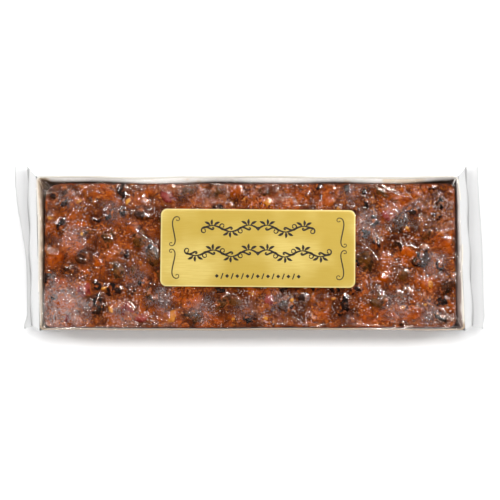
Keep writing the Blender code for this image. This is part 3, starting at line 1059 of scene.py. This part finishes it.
def label_height(x, y):
    """Height of the label's underside at a place on the table."""
    return bow_terms(x, y) @ curve + label_wave(x, y) + label_lift


print("label lies", round(float(label_height(*LABEL_MID[:, None])[0]), 2), "mm above the table")

# %% Press the film to it
pressed = ease((label_depth + 2.0) / 2.0)
film_top = film_top + pressed * (label_height(FILM_X, FILM_Y) - 0.06 - film_top)

# %% [markdown]
# ## Wrinkles
#
# Film that is stretched over lumps throws short sharp folds between them, mostly in the
# direction of the pull. Each fold is a narrow ridge with soft ends. They catch the softboxes
# as thin white streaks, and nothing else says "film" as clearly.

# %% Folds in the film
# x and y of the middle, length and direction, for the folds that stand out.
FOLDS = (
    (-35.7, -22.3, 13.0, -50), (-66.5, -5.5, 8.0, -48), (-51, 3, 9, -55), (-47, 0, 8, -50),
    (-54, -9, 6, -65), (-49, -11, 6, -70), (57.5, -6, 8, -55), (62, -3, 6, -45), (70, 1, 7, -45),
    (66, -9, 7, -40), (88, -9, 9, -35), (90, -12, 7, -50), (-69, 15, 5, -15), (-46, 29.7, 5, -15),
    (-3.6, 29.8, 5, 15), (50.5, 29.8, 5, -15), (75.7, 12, 8, 8), (-70.7, -17, 7, 8), (45, -31, 7, 50),
    (88, -22, 6, 60), (-84, 28, 8, 12), (-82, 6, 9, -35), (-80, 4, 7, -40), (10, -27, 6, 65),
    (-100, 34.9, 8, -39), (-100.6, 33.4, 6, -50), (-99.2, 36.0, 6, -20),
)


def add_folds(sheet, seed=5, more=170, height=0.44, width=0.46):
    """Presses ridges into the sheet: those placed above, and `more` seeded ones."""
    draw = np.random.default_rng(seed)
    folds = list(FOLDS)
    for _ in range(more):
        x, y = draw.uniform(-1, 1, 2) * (HALF_TOP - 5)
        folds.append((x, y, draw.uniform(2.0, 6.0), draw.normal(-48, 26)))
    for x, y, length, direction in folds:
        heading = math.radians(direction)
        dx, dy = FILM_X - x, FILM_Y - y
        close = np.hypot(dx, dy) < length
        along = dx[close] * math.cos(heading) + dy[close] * math.sin(heading)
        across = dy[close] * math.cos(heading) - dx[close] * math.sin(heading)
        bend = 0.06 * along * along / length * draw.choice((-1, 1))
        ridge = np.exp(-(((across - bend) / width) ** 2)) * ease(1.15 - np.abs(along) / length * 2)
        sheet[close] += height * draw.uniform(0.5, 1.0) * ridge
    return sheet




# %% Haze
# Where moisture or sugar clouds the film: x and y of the middle, radius and strength.
HAZE = (
    (-92, -26, 15, 1.8), (-97, -33, 8, 1.3), (-86, 7, 9, 0.7), (-66, 21, 8, 0.5), (-43, -22, 8, 0.8),
    (-24, -28, 8, 0.7), (57, 14, 9, 0.8), (72, 18, 8, 0.6), (90, -5, 8, 0.7), (72, -27, 9, 0.7),
    (88, -30, 8, 0.6), (-32, 31, 5, 0.4), (14, -24, 7, 0.6), (-62, -30, 8, 0.7), (-2, -29, 7, 0.4),
    (-49, 2, 6, 0.5), (-88, 27, 6, 0.4), (50, 31, 5, 0.4), (-56, -12, 6, 0.4),
)


def haze_at(x, y):
    """Share of haze at a place: the patches above, with ragged edges, and faint ones between."""
    haze = 0.02 * ease(1.4 * lumps(x, y, 21.0, 71.0) + 0.5 * lumps(x, y, 6.0, 72.0))
    for patch_x, patch_y, radius, strength in HAZE:
        reach = np.hypot(x - patch_x, y - patch_y) / radius + 0.5 * lumps(x, y, 4.5, 73.0)
        haze = np.maximum(haze, strength * (1 - ease((reach - 0.25) / 0.9)))
    return haze


film_haze = haze_at(FILM_X, FILM_Y) * (1 - ease((label_depth + 1.0) / 1.0))

# %% Press the wrinkles in
# Calm film lies smooth. Wrinkles keep to some parts and to the hazy patches.
busy = np.maximum(film_haze, ease(0.4 + 1.5 * lumps(FILM_X, FILM_Y, 10.0, 81.0)))
free = (1 - pressed) * (1 - 0.6 * contact)
wrinkles = 0.10 * np.abs(lumps(FILM_X, FILM_Y, 3.2, 51.0, along=-50, stretch=2.6))
wrinkles += 0.03 * lumps(FILM_X, FILM_Y, 1.6, 53.0, along=-50, stretch=2.0)
wrinkles = add_folds(wrinkles * (0.15 + busy))
busy = busy * ease((HALF_TOP[1] - np.abs(FILM_Y) - 1.5) / 2.0)
inside_rim = ease(np.minimum(HALF_TOP[0] - np.abs(FILM_X), HALF_TOP[1] - np.abs(FILM_Y)) / 2.5)
film_top = film_top + wrinkles * (0.35 + 0.65 * free) * (1 - pressed) * inside_rim

# %% [markdown]
# ## The tube of film
#
# Rings of points go round the loaf, one for each station along it: over the top, down the
# front, back underneath and up the back. Past each end of the tray the ring narrows to a
# flat seal, with the sides folded inwards, and the seal hangs down a little. The ring has
# three times as many points on top, where the wrinkles are, as below.

# %% Sizes of the ends
SIDE_POINTS = 7
SLOPE_STATIONS = 14
SEAL_STATIONS = 16
SEAL_WIDTH = 8.0
SEAL_ROOT = TRAY_HIGH[0] + 5.7  # distance of the seal's root from the middle
SEAL_Z = 16.5
SEAL_THICK = 0.5
SEAL_BACK = (43.5, 45.6)        # at its root and at its cut edge
SEAL_FRONT = (35.0, 35.8)

TUCK = 7.0
RIDGE_PITCH = 1.45
RIDGE_HEIGHT = 0.03
BEND_RADIUS = 0.8
BASE_HALF = RIM_HALF - TRAY_LEAN + 0.4


def seal_shown(side, y):
    """Share of the seal's width that lies flat at a place along it; the rest is bent down.
    More and more of the left one is bent towards the front, but for its tip."""
    if side > 0:
        return 0.91 - 0.12 * ease((-29 - y) / 6)
    return 0.37 + 0.59 * ease((y + 8) / 50) + 0.20 * ease((-28 - y) / 7)


# %% One ring of the tube
def body_ring(x, tops_y, tops_z):
    """The ring at a station over the tray. The top comes from the draped sheet."""
    share = np.linspace(0, 1, SIDE_POINTS + 2)[1:-1]
    half_rim, half_base = HALF_TOP[1], BASE_HALF[1]
    slack = 0.7 * np.sin(share * math.pi) * (1 + 0.6 * math.sin(x / 11) + 0.4 * math.sin(x / 4.3))
    side_y = half_rim + (half_base - half_rim) * share + slack
    side_z = RIM_Z * (1 - share)
    under_y = np.linspace(-half_base, half_base, UNDER)
    under_z = 0.05 + 0.05 * np.sin(under_y / 6 + x / 9)
    ring_y = np.concatenate([tops_y, -side_y, under_y, side_y[::-1]])
    ring_z = np.concatenate([tops_z, side_z, under_z, side_z[::-1]])
    ring_x = x + rim_shift(ring_y) * ring_z / RIM_Z * (abs(x) / HALF_TOP[0]) ** 6
    return np.stack([ring_x, ring_y, ring_z], 1)



def seal_ring(side, reach):
    """The flat ring of the seal, `reach` millimetres out from its root."""
    out = reach / SEAL_WIDTH
    back = SEAL_BACK[0] + (SEAL_BACK[1] - SEAL_BACK[0]) * out
    front = SEAL_FRONT[0] + (SEAL_FRONT[1] - SEAL_FRONT[0]) * out
    top_y = back - (back + front) * np.linspace(0, 1, ACROSS)
    under_y = -front + (back + front) * np.linspace(0, 1, UNDER)
    front_y = np.full(SIDE_POINTS, -front)
    y = np.concatenate([top_y, front_y, under_y, np.full(SIDE_POINTS, back)])
    turn = np.linspace(0, 1, SIDE_POINTS + 2)[1:-1]
    layer = np.concatenate([np.full(ACROSS, 1.0), 1 - 2 * turn, np.full(UNDER, -1.0), 2 * turn - 1])
    flat = seal_shown(side, y) * SEAL_WIDTH - BEND_RADIUS
    angle = np.clip((reach - flat) / BEND_RADIUS, 0, math.pi / 2)
    hanging = np.maximum(reach - flat - BEND_RADIUS * math.pi / 2, 0)
    across_x = np.minimum(reach, flat) + BEND_RADIUS * np.sin(angle)
    fallen = BEND_RADIUS * (1 - np.cos(angle)) + hanging + 0.10 * across_x
    ridge = RIDGE_HEIGHT * math.sin(reach / RIDGE_PITCH * math.tau) * min(1.0, reach / 1.5)
    lift = layer * SEAL_THICK / 2 + ridge + 0.25 * np.sin(y / 9 + side) * out
    x = SEAL_ROOT + across_x + lift * np.sin(angle)
    z = SEAL_Z - fallen + lift * np.cos(angle)
    return np.stack([side * x - SKEW * y / TRAY_HIGH[1], y, z], 1)



def slope_ring(side, share, start, root):
    """Between the rim and the root of the seal. The film runs out from the rim almost level
    and then turns down, the more the higher it started."""
    boxy = ease((start[:, 2] - SEAL_Z) / (RIM_Z - SEAL_Z))
    turn = share * math.pi / 2
    outwards_share = share + boxy * (math.sin(turn) ** (1 / 3) - share)
    down_share = share + boxy * (1 - math.cos(turn) ** (1 / 3) - share)
    ring = start + (root - start) * np.stack([outwards_share, outwards_share, down_share], 1)
    fold = np.zeros(len(ring))
    middle = 1 - np.abs(np.linspace(-1, 1, SIDE_POINTS))
    fold[ACROSS : ACROSS + SIDE_POINTS] = middle
    fold[ACROSS + SIDE_POINTS + UNDER :] = -middle
    ring[:, 1] += fold * TUCK * 4 * share * (1 - share)
    crease = np.sin(ring[:, 1] / 4.0 + 3 * share) * np.sin(share * math.pi)
    ring[:, 0] += side * 0.35 * crease
    return ring


# %% Finish of the film
def film_finish():
    """Clear film: it lets light straight through, mirrors a little of it, and is clouded where
    its haze attribute says so. A Principled glass would block the light from what it holds."""
    made, tree, shader = finish("clear_film_finish")
    tree.nodes.remove(shader)
    haze = tree.nodes.new("ShaderNodeAttribute")
    haze.attribute_name = "haze"
    haze = haze.outputs["Fac"]
    across = places(tree, turn=-50, stretch=(2.6, 1.0, 1.0))
    along = grain(tree, 1.7, 3, where=across, roughness=0.6)
    fine = grain(tree, 0.9, 3, roughness=0.7)
    wander = calculate(tree, "ABSOLUTE", calculate(tree, "SUBTRACT", grain(tree, 2.4, 2, where=across), 0.5))
    creases = between(tree, wander, 0.05, 0.0)
    busy = tree.nodes.new("ShaderNodeAttribute")
    busy.attribute_name = "busy"
    creased = between(tree, busy.outputs["Fac"], 0.1, 0.9, 0.10, 1.3)
    height = calculate(tree, "MULTIPLY_ADD", along, 1.5, calculate(tree, "MULTIPLY", fine, 0.7))
    height = calculate(tree, "MULTIPLY_ADD", creases, 0.8, height)
    grains = between(tree, grain(tree, 0.75, 2), 0.60, 0.72, 0.0, 0.4)
    height = calculate(tree, "MULTIPLY", calculate(tree, "ADD", height, grains), creased)
    pressed_flat = between(tree, haze, 2.0, 2.8)
    height = calculate(tree, "MULTIPLY", height, calculate(tree, "SUBTRACT", 1.0, pressed_flat))
    normal = relief(tree, height, 0.22, 0.9)
    clear = add(tree, "ShaderNodeBsdfTransparent", Color=screen(250, 251, 252))
    mirror = add(tree, "ShaderNodeBsdfAnisotropic", Color=(1.0, 0.85, 0.77, 1.0), Normal=normal)
    mirror.inputs["Roughness"].default_value = 0.10
    # The pressed film next to the tray is painted darker grey than the flat seal: painted shade.
    veil_colour = mix(tree, pressed_flat, screen(224, 206, 206), screen(193, 193, 193))
    veil_colour = mix(tree, between(tree, haze, 4.5, 4.3), veil_colour, screen(216, 216, 216))
    # Two layers pressed flat scatter light between them, so their shade hardly follows the slope.
    facing = tree.nodes.new("ShaderNodeNewGeometry").outputs["Normal"]
    side_up = calculate(tree, "SIGN", add(tree, "ShaderNodeSeparateXYZ", Vector=facing).outputs["Z"])
    even = calculate(tree, "MULTIPLY", calculate(tree, "MULTIPLY", side_up, pressed_flat), 30.0)
    evened = tree.nodes.new("ShaderNodeVectorMath")
    tree.links.new(facing, evened.inputs[0])
    tree.links.new(add(tree, "ShaderNodeCombineXYZ", Z=even).outputs["Vector"], evened.inputs[1])
    unit = tree.nodes.new("ShaderNodeVectorMath")
    unit.operation = "NORMALIZE"
    tree.links.new(evened.outputs["Vector"], unit.inputs[0])
    veil = add(tree, "ShaderNodeBsdfDiffuse", Color=veil_colour, Normal=unit.outputs["Vector"])
    ragged = between(tree, fine, 0.40, 0.62, 0.15, 1.1)
    cloud = calculate(tree, "MULTIPLY", calculate(tree, "MULTIPLY", haze, ragged), 0.13)
    flat_cloud = between(tree, haze, 2.0, 4.6, 0.0, 0.97)
    cloud = calculate(tree, "MAXIMUM", cloud, flat_cloud)
    body = add(tree, "ShaderNodeMixShader", Fac=cloud)
    tree.links.new(clear.outputs[0], body.inputs[1])
    tree.links.new(veil.outputs[0], body.inputs[2])
    fresnel = add(tree, "ShaderNodeFresnel", IOR=1.5, Normal=normal)
    most = between(tree, pressed_flat, 0.0, 1.0, 0.16, 0.02)
    both = add(tree, "ShaderNodeMixShader", Fac=calculate(tree, "MINIMUM", fresnel.outputs[0], most))
    tree.links.new(body.outputs[0], both.inputs[1])
    tree.links.new(mirror.outputs[0], both.inputs[2])
    tree.links.new(both.outputs[0], tree.nodes["Material Output"].inputs["Surface"])
    return made


# %% Build the film
def make_film():
    rings = [body_ring(FILM_X[n, 0], FILM_Y[n], film_top[n]) for n in range(len(FILM_X))]
    for side in (-1, 1):
        start = rings[0 if side < 0 else -1].copy()
        root = seal_ring(side, 0.0)
        shares = np.linspace(0, 1, SLOPE_STATIONS + 1)[1:-1]
        end = [slope_ring(side, share, start, root) for share in shares]
        end += [seal_ring(side, reach) for reach in np.linspace(0, SEAL_WIDTH, SEAL_STATIONS)]
        rings = end[::-1] + rings if side < 0 else rings + end
    count = len(rings[0])
    points = np.concatenate(rings)
    faces = []
    for n in range(len(rings) - 1):
        near = n * count + np.arange(count)
        far = near + count
        faces += np.stack([near, np.roll(near, -1), np.roll(far, -1), far], 1).tolist()
    faces.append(np.arange(count)[::-1].tolist())
    faces.append((len(points) - count + np.arange(count)).tolist())
    made = mesh_piece("film", points, faces, film_finish())
    outwards(made)
    first = SLOPE_STATIONS - 1 + SEAL_STATIONS
    haze = np.zeros((len(rings), count))
    haze[first : first + len(FILM_X), :ACROSS] = film_haze
    haze[[first, -first - 1]] = 5.0
    bands = 4.2 + 0.06 * np.sin(np.arange(SEAL_STATIONS) * 0.8)[:, None]
    haze[:SEAL_STATIONS] = bands[::-1]
    haze[-SEAL_STATIONS:] = bands
    slopes = (5.0 - 2.0 * ease((shares - 0.45) / 0.3))[:, None]
    haze[SEAL_STATIONS:first] = slopes[::-1]
    haze[-first:-SEAL_STATIONS] = slopes

    paint(made, "haze", haze)
    creased = np.zeros((len(rings), count))
    creased[first : first + len(FILM_X), :ACROSS] = busy
    paint(made, "busy", creased)
    return made


film = make_film()

# %% [markdown]
# ## The gold label
#
# Gold foil paper with round corners. Its face is a grid laid on the curved surface found
# above. The ornament at each end is a pair of scrolls, and a scroll is easy to describe by
# how its direction turns: almost straight in the middle and faster and faster towards the
# ends. Adding up small steps in that direction draws it. Each line is a thin ribbon whose
# width swells in the middle, as from a broad pen.


# %% Finish of the foil and the ink
def foil_finish():
    """Brushed gold: pale and deep patches of painted reflection, fine brushing along the label, and a painted
    highlight along its edge.
    """
    made, tree, shader = finish("gold_foil", roughness=0.42, specular=0.2, metallic=0.3)
    # Broad pale and deep patches: painted reflections of the gently bowed foil.
    broad = between(tree, grain(tree, 30.0, 2), 0.36, 0.64)
    brushed = grain(tree, 0.5, 3, where=places(tree, stretch=(14.0, 1.0, 1.0)))
    base = mix(tree, broad, screen(172, 146, 62), screen(196, 174, 98))
    base = mix(tree, between(tree, brushed, 0.3, 0.7, 0.0, 0.3), base, screen(166, 138, 52))
    # A pale band along the edge: a painted highlight where the cut edge catches the light.
    rim = tree.nodes.new("ShaderNodeAttribute")
    rim.attribute_name = "rim"
    base = mix(tree, rim.outputs["Fac"], base, screen(228, 212, 150))
    tree.links.new(base, shader.inputs["Base Color"])
    tree.links.new(relief(tree, brushed, 0.03, 0.5), shader.inputs["Normal"])
    return made


def ink_finish():
    """Dark brown ink, slightly uneven."""
    made, tree, shader = finish("brown_ink", roughness=0.5, specular=0.3)
    base = mix(tree, between(tree, grain(tree, 0.7, 2), 0.3, 0.7), screen(22, 14, 8), screen(44, 30, 16))
    tree.links.new(base, shader.inputs["Base Color"])
    return made


# %% Build the label
def on_table(u, v):
    """Turns places on the label back into places on the table."""
    cosine, sine = math.cos(LABEL_TURN), math.sin(LABEL_TURN)
    return LABEL_MID[0] + u * cosine - v * sine, LABEL_MID[1] + u * sine + v * cosine


def make_label(spacing=0.8):
    u, v = rounded_grid(*LABEL_SIZE, LABEL_CORNER, spacing)
    x, y = on_table(u, v)
    z = label_height(x, y)
    depth = depth_inside(u, v, *LABEL_SIZE, LABEL_CORNER)
    soft_edge = 0.06 * (1 - ease(depth / 0.8))
    top = np.stack([x, y, z + LABEL_THICK - soft_edge], -1).reshape(-1, 3)
    below = np.stack([x, y, z], -1).reshape(-1, 3)
    faces = grid_faces(*x.shape)
    faces += [face[::-1] for face in grid_faces(*x.shape, first=len(top))]
    rim = border(*x.shape)
    ahead = np.roll(rim, -1)
    faces += np.stack([rim, rim + len(top), ahead + len(top), ahead], 1).tolist()
    made = mesh_piece("gold_label", np.concatenate([top, below]), faces, foil_finish(), flat_above=40)
    outwards(made)
    # A painted highlight along the edge.
    edge_highlight = 0.7 * (1 - ease(depth / 0.9)).ravel()
    paint(made, "rim", np.concatenate([edge_highlight, edge_highlight]))
    return made


label = make_label()


# %% Scrolls
def scroll(length, turns, ends=(1.0, 1.0), straight=4.0, steps=70):
    """A line whose direction turns faster towards its ends. Returns points round (0, 0),
    starting along +y in the middle, with a total height of `length`."""
    s = np.linspace(-1, 1, 2 * steps + 1)
    size = np.where(s < 0, ends[0], ends[1])
    heading = math.pi / 2 - turns * math.tau * np.abs(s) ** straight
    step = size / steps
    x, y = np.cumsum(np.cos(heading) * step), np.cumsum(np.sin(heading) * step)
    x, y = x - x[steps], y - y[steps]
    scale = length / (y.max() - y.min())
    return np.stack([x * scale, y * scale], 1), s


def ribbon(path, widths):
    """Left and right edge of a line of changing width."""
    along = np.gradient(path, axis=0)
    along /= np.linalg.norm(along, axis=1, keepdims=True)
    across = np.stack([-along[:, 1], along[:, 0]], 1) * np.asarray(widths)[:, None] / 2
    return path + across, path - across


class Print:
    """Collects flat shapes on the label and makes one thin mesh of them."""

    def __init__(self):
        self.points, self.faces = [], []

    def line(self, path, widths):
        left, right = ribbon(np.asarray(path, float), widths)
        first, count = len(self.points), len(path)
        self.points += left.tolist() + right.tolist()
        for n in range(count - 1):
            self.faces.append((first + n, first + count + n, first + count + n + 1, first + n + 1))

    def disc(self, middle, radius, corners=12):
        first = len(self.points)
        angles = np.arange(corners) * math.tau / corners
        self.points += [(middle[0] + radius * math.cos(a), middle[1] + radius * math.sin(a)) for a in angles]
        self.faces.append(tuple(range(first, first + corners)))

    def place(self, path, middle, turn=0.0, flip=(1, 1)):
        """A path turned, mirrored and moved to its place."""
        cosine, sine = math.cos(math.radians(turn)), math.sin(math.radians(turn))
        turned = path @ np.array([[cosine, sine], [-sine, cosine]])
        return turned * np.array(flip) + np.array(middle)

    def make(self, name, material, above=0.03):
        flat_points = np.array(self.points)
        x, y = on_table(flat_points[:, 0], flat_points[:, 1])
        z = label_height(x, y) + LABEL_THICK + above
        made = mesh_piece(name, np.stack([x, y, z], 1), self.faces, material)
        shape = bmesh.new()
        shape.from_mesh(made.data)
        for face in shape.faces:
            if face.normal.z < 0:
                face.normal_flip()
        shape.to_mesh(made.data)
        shape.free()
        return made


# %% Print the scrolls
END_INSET = 6.4                 # of the end scrolls from the label's short edges

END_SCROLL = 13.6


def pen(s, thin, thick):
    """Width of a line that swells in the middle."""
    return thin + (thick - thin) * (1 - np.asarray(s) ** 2)


printed = Print()
for side in (-1, 1):
    for half in (-1, 1):
        path, s = scroll(END_SCROLL, 0.92, ends=(0.8, 1.0), straight=3.4)
        middle = (side * (LABEL_SIZE[0] / 2 - END_INSET), half * 7.3)
        placed = printed.place(path, middle, turn=12, flip=(-side, half))
        printed.line(placed, pen(s, 0.30, 0.62))
        for end in (0, -1):
            printed.disc(placed[end], 0.30)

# %% Print the vines
# Two leafy vines, mirrored about the middle, and a border of lozenges and short bars.
VINES = ((9.6, 27.0, 3), (-2.6, 35.0, 4))  # level, half length and waves a side
SWING = 4.4
LEAVES = ((-0.9, 150, 3.4, -0.18), (0.0, 90, 3.0, -0.18), (0.9, 30, 3.4, 0.18))  # shift, angle, length, bend


def leaf(angle, length, width, bend, steps=10):
    """The middle line of a pointed leaf from its foot, and its width along it."""
    share = np.linspace(0, 1, steps)
    path = np.stack([share * length, 2 * bend * length * share * (1 - share)], 1)
    return printed.place(path, (0.0, 0.0), turn=angle), width * np.sin(share * math.pi) ** 0.8 + 0.02


def print_vine(level, half_length, waves, side):
    """A wavy stem from the middle outwards, with a curl inside each wave and three leaves on it."""
    wave = half_length / waves
    x = np.linspace(0, half_length, 60 * waves)
    swing = 0.42 * SWING * (1 - 0.35 * x / half_length)
    stem = np.stack([x, swing * np.sin(x / wave * math.pi)], 1)
    printed.line(stem * (side, 1) + (0, level), 0.5 + 0.5 * np.abs(np.cos(x / wave * math.pi)))
    for n in range(waves):
        up = 1 if n % 2 == 0 else -1
        middle = (n + 0.5) * wave
        path, s = scroll(SWING * 1.15, 0.95, ends=(0.35, 1.0), straight=2.0)
        curl = printed.place(path, (0.0, 0.0), turn=-62, flip=(1, up)) + (middle + 0.9, -0.05 * SWING * up)
        curl = curl * (side, 1) + (0, level)
        printed.line(curl, pen(s, 0.3, 0.9))
        printed.disc(curl[-1], 0.38)
        crest = 0.42 * SWING * (1 - 0.35 * middle / half_length) + 0.1
        for shift, angle, length, bend in LEAVES:
            path, widths = leaf(angle, length, 1.25, bend)
            printed.line((path * (1, up) + (middle + shift, up * crest)) * (side, 1) + (0, level), widths)


for level, half_length, waves in VINES:
    for side in (-1, 1):
        print_vine(level, half_length, waves, side)
    printed.disc((0, level), 1.1, corners=4)

for n in range(17):
    place_x = (n - 8) * 2.5
    if n % 2:
        bar = np.array([(place_x - 0.5, -15.2), (place_x + 0.5, -12.4)])
        printed.line(bar, (0.55, 0.55))
    else:
        printed.disc((place_x, -13.8), 1.0, corners=4)

ink = printed.make("label_print", ink_finish())

# %% [markdown]
# ## The floor, and handing over
#
# The floor is a plain white sheet. Each piece then rides on the root body, and the plain solids
# from the model are hidden.

# %% Floor
floor_finish, floor_tree, floor_shader = finish("white_floor", roughness=0.9, specular=0.1)
floor_shader.inputs["Base Color"].default_value = (0.92, 0.92, 0.92, 1.0)
FLOOR = 1500.0
corners = np.array([(-FLOOR, -FLOOR, 0), (FLOOR, -FLOOR, 0), (FLOOR, FLOOR, 0), (-FLOOR, FLOOR, 0)])
floor = mesh_piece("floor", corners - (0, 0, 0.05), [(0, 1, 2, 3)], floor_finish)

# %% Hand over
for piece, slot in (
    *((piece, "cake") for piece in (crumb, *fruit_pieces)),
    (tray, "tray"),
    (webs, "tray"),
    (film, "film"),
    (label, "label"),
    (ink, "label"),
):
    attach(piece, "root")
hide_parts("cake")
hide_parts("card_tray")
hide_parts("film_wrap")
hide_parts("label")
